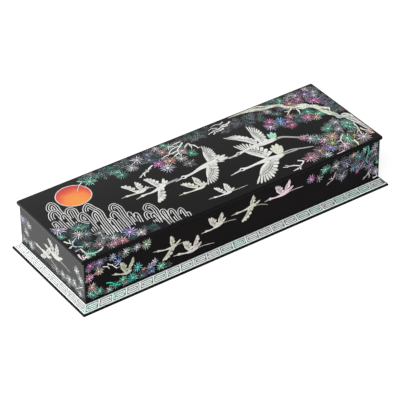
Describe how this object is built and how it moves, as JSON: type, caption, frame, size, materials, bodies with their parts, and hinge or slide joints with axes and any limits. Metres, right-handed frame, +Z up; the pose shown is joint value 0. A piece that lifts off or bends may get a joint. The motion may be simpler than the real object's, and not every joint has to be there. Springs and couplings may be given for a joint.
{
  "type": "pen case",
  "caption": "Long low pen case in black lacquer with shell inlay: hollow box on a sloped plinth, under a flat lift-off lid.",
  "frame": {"origin": "centre of the plinth's underside, on the surface that the case stands on", "axes": "+X along the long side, with the sun at the -X end of the lid; +Z up; the long side that faces the viewer looks along -Y"},
  "size_m": [0.29, 0.105, 0.047],
  "materials": {
    "plinth_lacquer": "black lacquer on a wooden board",
    "case_lacquer": "polished black lacquer on thin wooden boards",
    "lid_lacquer": "polished black lacquer on a wooden board",
    "shell_inlay": "polished mother of pearl, pale with green, blue, violet and pink play of colour",
    "red_inlay": "polished disc, orange with a red margin"
  },
  "bodies": {
    "root": {"plinth": "plinth_lacquer", "case_body": "case_lacquer", "lid": "lid_lacquer"}
  },
  "joints": []
}
